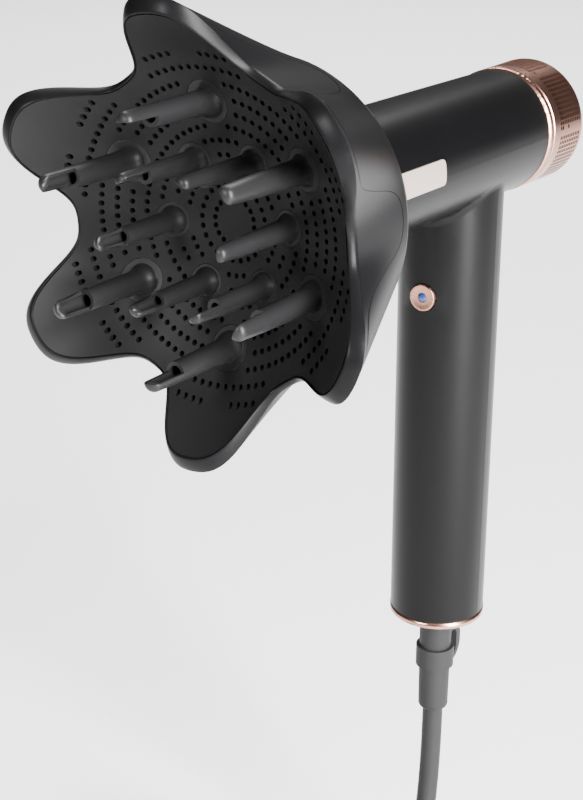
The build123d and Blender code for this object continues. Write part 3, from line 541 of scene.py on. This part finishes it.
        places = []
        for row in range(self.hole_rows):
            radius = self.first_row + self.row_pitch * row
            count = round(2 * pi * radius / self.hole_pitch / self.lobes) * self.lobes
            for index in range(count):
                angle = 360.0 * (index + 0.5 * (row % 2)) / count
                hole = spot(radius, angle)
                near = min((hole - spot(ring, at)).length - base for ring, base, at in self.prong_seats())
                disc_at, disc_radius = self.plain_disc
                lobe_at = round(angle / 60) * 60
                off_disc = (hole - spot(disc_at, lobe_at)).length > disc_radius
                inside = radius < self.crest(angle)[0] - self.rim_clearance
                if near > self.prong_clearance and off_disc and inside:
                    places.append((radius, angle))
        return places

    def on_floor(self, radius: float, angle: float) -> Matrix:
        """Takes a piece from the origin to a place on the bowl's front face."""
        return (Matrix.Rotation(radians(angle), 4, "Z")
                @ Matrix.Translation((radius * MM, 0, self.floor(radius) * MM)))

    def bowl(self) -> None:
        """The dished plate with its air holes and the seats of the prongs."""
        def ring(share: float, drop: float) -> Rule:
            """A ring of the plate part of the way out to the rim."""
            def rule(angle: float) -> tuple[float, float]:
                radius = (self.crest(angle)[0] - self.rim_gap) * share
                return radius, self.floor(radius) - drop
            return rule

        shares = [0.0002] + [step / self.bowl_rings for step in range(1, self.bowl_rings + 1)]
        rules = [ring(share, 0) for share in shares]
        rules += [ring(share, self.bowl_thickness) for share in reversed(shares)]
        plate = lofted("diffuser_bowl_plate", rules, self.bowl_segments)
        deselect()
        bpy.ops.mesh.primitive_cylinder_add(vertices=10, radius=self.hole_radius * MM, depth=12 * MM)
        punch = bpy.context.object
        copies = []
        for radius, angle in self.hole_places():
            copies.append(stamp(punch, self.on_floor(radius, angle)))
        bpy.data.objects.remove(punch)
        for ring_radius, base, at in self.prong_seats():
            deselect()
            seat = (base + self.seat_clearance) * MM
            bpy.ops.mesh.primitive_cylinder_add(vertices=48, radius=seat, depth=40 * MM)
            copies.append(moved(bpy.context.object, self.on_floor(ring_radius, at)))
        deselect()
        for copy in copies:
            copy.select_set(True)
        bpy.context.view_layer.objects.active = copies[0]
        bpy.ops.object.join()
        cutter = bpy.context.object
        carve(plate, "BOOLEAN", object=cutter, operation="DIFFERENCE", solver="EXACT", use_self=False)
        bpy.data.objects.remove(cutter)
        moved(plate, forward(self.clocking))
        soften(plate, 30)
        keep(plate, CHARCOAL_MATT, "diffuser", "diffuser_inside", "diffuser_bowl")

    def prongs(self) -> None:
        """The twelve hollow prongs, each with its seat in the bowl."""
        for kind in ("outer", "inner"):
            for index in range(1, self.lobes + 1):
                node = f"prong_{kind}_{index}"
                keep(smoothed(node, f"{node}_finger", 40), CHARCOAL_PRONG, "diffuser", "prong_black", node)

    def build(self) -> None:
        """Builds the whole diffuser."""
        self.rear_shell()
        self.bezel()
        self.bowl()
        self.prongs()


@dataclass
class IntakeCap:
    """The rose-gold cap with its rows of slots; sizes in mm, stations along the barrel's axis."""
    front_radius: float = 24.35
    rear_radius: float = 24.75
    front: float = -36.9
    length: float = 24.8
    slot_wall: float = 0.7
    cells: int = 78
    block: int = 13
    rows: int = 11
    plain_front: float = 5.2
    plain_rear: float = 2.6
    front_edge: tuple[float, float] = (0.25, 0.3)
    corner: float = 1.4
    rear_lip: float = 3.7
    bar: float = 0.26
    grille_rings: tuple[float, ...] = (5.2, 9.6, 14.0, 18.2)
    grille_bar: float = 1.3
    grille_depth: float = 1.0
    spokes: int = 9
    spoke_middle: float = 11.2
    spoke_length: float = 21.8

    def radius_at(self, station: float) -> float:
        """Outer radius at a station."""
        share = (self.front - station) / self.length
        return self.front_radius + (self.rear_radius - self.front_radius) * share

    def build(self) -> None:
        """The slotted skin, made from a grid whose cells are inset and opened."""
        rear = self.front - self.length
        stations = [self.front, self.front - self.front_edge[1]]
        pitch = (self.length - self.plain_front - self.plain_rear) / self.rows
        stations += [self.front - self.plain_front - pitch * row for row in range(self.rows + 1)]
        rules = [plain(self.radius_at(stations[0]) - self.front_edge[0], stations[0])]
        rules += [plain(self.radius_at(station), station) for station in stations[1:]]
        edge = rounded((self.rear_radius - self.corner, -(rear + self.corner)), self.corner)
        rules += [plain(radius, -height) for radius, height in edge]
        rules += [plain(self.rear_radius - self.rear_lip, rear)]
        skin = lofted("intake_cap_skin", rules, self.cells, closed=False)
        self.open_slots(skin, stations[2], stations[-1])
        carve(skin, "SOLIDIFY", thickness=self.slot_wall * MM, offset=-1.0, use_even_offset=True)
        moved(skin, forward())
        soften(skin, 35)
        keep(skin, ROSE_GOLD, "filter_cap", "rose_gold", "rear_filter_cap")
        grille = self.rear_grille(rear)
        keep(grille, ROSE_GOLD, "filter_cap", "rose_gold")

    def open_slots(self, skin: bpy.types.Object, front: float, rear: float) -> None:
        """Insets the grid's cells one by one and opens them, leaving plain strips between blocks."""
        pick(skin)
        bpy.ops.object.mode_set(mode="EDIT")
        bpy.ops.mesh.select_mode(type="FACE")
        form = bmesh.from_edit_mesh(skin.data)
        for face in form.faces:
            middle = face.calc_center_median()
            cell = int((degrees(atan2(middle.y, middle.x)) % 360) / (360 / self.cells))
            inside = rear * MM < middle.z < front * MM
            face.select_set(inside and cell % self.block > 0)
        bmesh.update_edit_mesh(skin.data)
        bpy.ops.mesh.inset(thickness=self.bar * MM, use_individual=True)
        bpy.ops.mesh.delete(type="FACE")
        bpy.ops.object.mode_set(mode="OBJECT")

    def rear_grille(self, rear: float) -> bpy.types.Object:
        """The rings and spokes across the open rear end."""
        bars = [self.ring(radius, rear) for radius in self.grille_rings]
        deselect()
        bpy.ops.mesh.primitive_cube_add(size=1.0)
        middle = Matrix.Translation((self.spoke_middle * MM, 0, (rear + self.grille_depth) * MM))
        thick = self.grille_bar * MM
        spoke = moved(bpy.context.object, middle @ Matrix.Diagonal((self.spoke_length * MM, thick, thick, 1)))
        for index in range(1, self.spokes):
            bars.append(stamp(spoke, Matrix.Rotation(2 * pi * index / self.spokes, 4, "Z")))
        bars.append(spoke)
        pick(bars[0])
        for piece in bars:
            piece.select_set(True)
        bpy.ops.object.join()
        grille = bpy.context.object
        grille.name = grille.data.name = "intake_cap_grille"
        moved(grille, forward())
        soften(grille, 35)
        return grille

    def ring(self, radius: float, rear: float) -> bpy.types.Object:
        """One round bar of the rear grille."""
        half = self.grille_bar / 2
        low, high = rear + self.grille_depth - half, rear + self.grille_depth + half
        return turned("grille_ring", [(radius - half, low), (radius + half, low), (radius + half, high),
                                      (radius - half, high)], 64)


@dataclass
class Dryer:
    """The barrel, handle and what is set into them; sizes in mm."""
    button_height: float = 49.4
    button_face: float = 20.9
    button_radius: float = 5.3
    button_depth: float = 6.0
    dot_radius: float = 1.7
    dot_gap: float = 0.1

    def build(self) -> None:
        """Builds the shells, rings and buttons."""
        paint("body_shell", BLACK_SATIN)
        paint("badge_plate", CREAM)
        for node, name in (("cap_seat_ring", "cap_seat_polish"), ("handle_end_ring", "foot_ring_polish")):
            keep(smoothed(node, name, 30), ROSE_GOLD, "root", "rose_gold", node)
        self.cool_button()
        for node, finish, body, slot in (("button_panel", BLACK_PLASTIC, "root", "dark_plastic"),
                                         ("handle_end_cap", BLACK_PLASTIC, "root", "dark_plastic"),
                                         ("cool_shot_guide", BLACK_PLASTIC, "root", "dark_plastic"),
                                         ("power_button", KEY_GREY, "power_key", "button_grey"),
                                         ("airflow_button", KEY_GREY, "airflow_key", "button_grey"),
                                         ("heat_button", KEY_GREY, "heat_key", "button_grey")):
            keep(smoothed(node, f"{node}_face", 30), finish, body, slot, node)

    def cool_button(self) -> None:
        """The turned button with its blue dot."""
        inner, outer = self.dot_radius + self.dot_gap, self.button_radius
        profile = [(inner, -self.button_depth), (outer, -self.button_depth), (outer, -0.45)]
        profile += rounded((outer - 0.4, -0.4), 0.4)
        profile += [(outer - 1.2, -0.12), (inner + 1.2, -0.32), (inner + 0.15, -0.34), (inner, -0.5)]
        button = turned("cool_button_cap", profile, 96)
        place = Matrix.Translation((0, -self.button_face * MM, self.button_height * MM))
        aim = place @ Matrix.Rotation(pi / 2, 4, "X")
        moved(button, aim)
        soften(button, 30)
        keep(button, SPUN_ROSE, "cool_button", "rose_gold", "cool_shot_button")
        dome = [(0.0, -1.2), (self.dot_radius, -1.2), (self.dot_radius, -0.35),
                (self.dot_radius - 0.25, -0.12), (self.dot_radius * 0.5, 0.06), (0.0, 0.12)]
        dot = moved(turned("cool_button_dot", dome, 48), aim)
        soften(dot, 40)
        keep(dot, BLUE, "cool_button", "blue_dot", "cool_shot_dot")


@dataclass
class MainsCord:
    """The strain relief, hanging loop, cord, coil, tie and plug; sizes in mm."""
    diameter: float = 8.8
    coil_centre: tuple[float, float, float] = (-57.8, -108.0, -250.0)
    mean_radius: float = 50.0
    length: float = 2.3
    points_per_turn: int = 16
    plug_reach: float = 65.0
    layer_rise: float = 9.0

    def route(self) -> list[tuple[float, float, float]]:
        """The free cord's points, listed one by one, then the turns of the coil and the tail to the plug."""
        points = [(0, 0, -142), (0, 0, -188), (1.5, -17, -228), (3, -50, -250), (1, -88, -250)]
        outer = self.mean_radius + self.diameter
        inner = self.mean_radius - self.diameter
        floor = self.coil_centre[2]
        step = 360 / self.points_per_turn
        layers = ((outer, inner, 2.25, 0), (inner, outer, 2.25, 1),
                  (outer, inner + self.diameter / 2, 1.5, 2))
        turn = 0.0
        for start, end, turns, level in layers:
            count = round(turns * self.points_per_turn)
            for index in range(count):
                share = index / count
                height = floor + self.layer_rise * level
                points.append(self.on_coil(start + (end - start) * share, turn, height))
                turn += step
        tail = ((46.5, 2182, -231.5), (49, 2206, -225), (57, 2232, -222.5), (66, 2258, -226),
                (69.5, 2283, -238), (68.5, 2308, -249), (66.5, 2326, -250))
        points += [self.on_coil(*place) for place in tail]
        end_x = self.coil_centre[0] - self.plug_reach
        points += [(end_x, self.coil_centre[1] - 2, floor), (end_x, self.coil_centre[1] + 9, floor)]
        return points

    def on_coil(self, radius: float, turn: float, height: float) -> tuple[float, float, float]:
        """A point of a turn, running clockwise from the side that the free cord comes in at."""
        angle = radians(-turn)
        centre_x, centre_y, _ = self.coil_centre
        return centre_x + radius * cos(angle), centre_y + radius * sin(angle), height

    def cord(self, plug: list[bpy.types.Object]) -> None:
        """The cord itself, one smooth line."""
        curve = bpy.data.curves.new("mains_cord", "CURVE")
        curve.dimensions = "3D"
        curve.bevel_depth = self.diameter / 2 * MM
        curve.bevel_resolution = 5
        curve.resolution_u = 10
        curve.use_fill_caps = True
        line = curve.splines.new("NURBS")
        points = self.route()
        line.points.add(len(points) - 1)
        for point, place in zip(line.points, points):
            point.co = (*(value * MM for value in place), 1.0)
        line.order_u = 3
        line.use_endpoint_u = True
        cord = bpy.data.objects.new("mains_cord", curve)
        bpy.context.scene.collection.objects.link(cord)
        curve.materials.append(RUBBER.material())
        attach(cord, "root")
        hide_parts("cord", "cord_coil")

    def build(self) -> None:
        """Builds the cord set."""
        for node, name in (("strain_relief", "strain_relief_sleeve"), ("hang_loop", "hanging_loop")):
            keep(smoothed(node, name, 35), RUBBER, "root", "cord_rubber", node)
        tie = keep(smoothed("cord_tie", "cord_tie_strap", 30), STRAP, "root", "tie_fabric", "cord_tie")
        body = keep(smoothed("plug_body", "plug_moulding", 35), RUBBER, "root", "cord_rubber", "plug_body")
        pins = keep(smoothed("plug_pins", "plug_blades", 30), PIN, "root", "pin_metal", "plug_pins")
        self.cord([tie, body, pins])


@dataclass
class Insides:
    """The nodes that stay as they are and take a finish from the record."""

    def build(self) -> None:
        """Paints every node that is still shown."""
        record = frame["record"]
        wanted = {part["node"]: part["material_slot"] for part in record["subparts"]}
        colours = {entry["slot"]: entry for entry in record["materials"]}
        for name, node in frame["nodes"].items():
            if node.hide_render or name in ("body_shell", "badge_plate"):
                continue
            if name in ("filter_mesh", "coupler_magnets"):
                paint(name, BLACK_PLASTIC)
                continue
            entry = colours[wanted[name]]
            metal = entry["class"] in ("brushed_steel", "aluminium", "chrome", "painted_metal")
            finish = Finish(f"inside_{entry['slot']}", tuple(entry["base_color"]), 0.35 if metal else 0.55,
                            metallic=1.0 if metal else 0.0)
            paint(name, finish)


@dataclass
class Studio:
    """The floor, the lamps and the camera, in metres."""
    floor_height: float = -0.2554
    floor_size: float = 30.0
    world_strength: float = 0.1
    camera_lens: float = 70.8
    camera_place: tuple[float, float, float] = (0.2878, -0.5229, 0.2313)
    camera_tilt: float = 68.78
    camera_turn: float = 34.77

    def lamp(self, name: str, place: tuple, aim: tuple, size: tuple, power: float) -> None:
        """One soft box, aimed at a point."""
        light = bpy.data.lights.new(name, "AREA")
        light.shape = "RECTANGLE"
        light.size, light.size_y = size
        light.energy = power
        lamp = bpy.data.objects.new(name, light)
        bpy.context.scene.collection.objects.link(lamp)
        lamp.location = place
        lamp.rotation_euler = (Vector(aim) - Vector(place)).to_track_quat("-Z", "Y").to_euler()

    def build(self) -> None:
        """Sets up the stage."""
        deselect()
        bpy.ops.mesh.primitive_plane_add(size=self.floor_size, location=(0, 0, self.floor_height))
        floor = bpy.context.object
        floor.name = "studio_floor"
        floor.data.materials.append(Finish("studio_floor", (0.88, 0.88, 0.88), 0.9, mottle=0.0).material())
        world = bpy.data.worlds.new("studio")
        bpy.context.scene.world = world
        world.use_nodes = True
        backdrop = world.node_tree.nodes["Background"]
        backdrop.inputs["Color"].default_value = (1, 1, 1, 1)
        backdrop.inputs["Strength"].default_value = self.world_strength
        self.lamp("key", (1.30, -0.50, 0.50), (0, 0, 0.0), (0.5, 1.3), 190)
        self.lamp("front", (-0.25, -1.9, 0.8), (0, -0.05, 0.05), (0.5, 0.5), 42)
        self.lamp("top", (-1.2, 2.1, 3.0), (-1.5, 2.6, -0.25), (3.2, 3.2), 380)
        camera = bpy.data.cameras.new("view")
        camera.lens = self.camera_lens
        camera.sensor_width = 36.0
        eye = bpy.data.objects.new("view", camera)
        bpy.context.scene.collection.objects.link(eye)
        eye.location = self.camera_place
        eye.rotation_euler = (radians(self.camera_tilt), 0, radians(self.camera_turn))
        bpy.context.scene.camera = eye


def main() -> None:
    """Builds every sub-assembly in order."""
    logging.basicConfig(level=logging.INFO, format="%(name)s: %(message)s")
    for assembly in (Studio(), MainsCord(), Dryer(), IntakeCap(), Diffuser(), Insides()):
        assembly.build()
        LOG.info("%s built", type(assembly).__name__)


if __name__ == "__main__":
    main()
